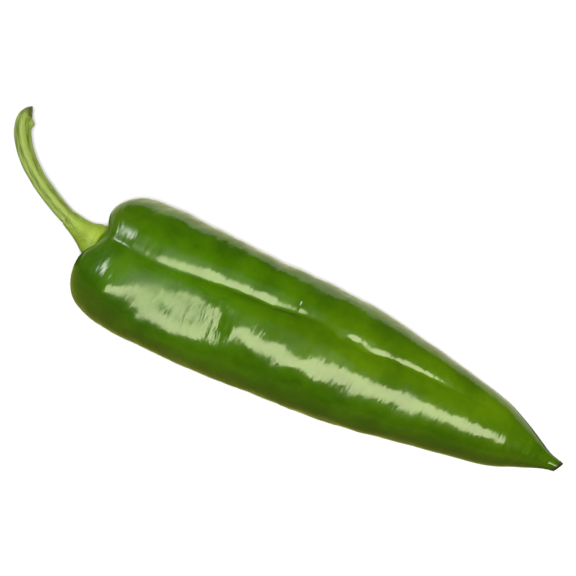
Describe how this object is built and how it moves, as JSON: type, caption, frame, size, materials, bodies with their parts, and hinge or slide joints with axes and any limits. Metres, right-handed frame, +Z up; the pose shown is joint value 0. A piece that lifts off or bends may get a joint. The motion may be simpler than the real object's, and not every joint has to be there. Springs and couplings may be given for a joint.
{
  "type": "chilli pepper",
  "caption": "Whole fresh green chilli pepper, long and tapered, with a creased shoulder, a flared calyx and a curved cut stem.",
  "frame": {"origin": "middle of the outline seen from above, on the ground the pepper lies on", "axes": "+X runs along the pod from the stem end to the tip, +Z is up, and the stem curves round towards +Y"},
  "size_m": [0.209, 0.0594, 0.0359],
  "materials": {
    "pod_skin": "glossy, waxy skin, mottled dark and mid green",
    "calyx_green": "satin, light yellow-green",
    "stem_green": "satin, ribbed, light green with a brown cut end"
  },
  "bodies": {
    "root": {"pod": "pod_skin", "calyx": "calyx_green", "stem": "stem_green"}
  },
  "joints": []
}
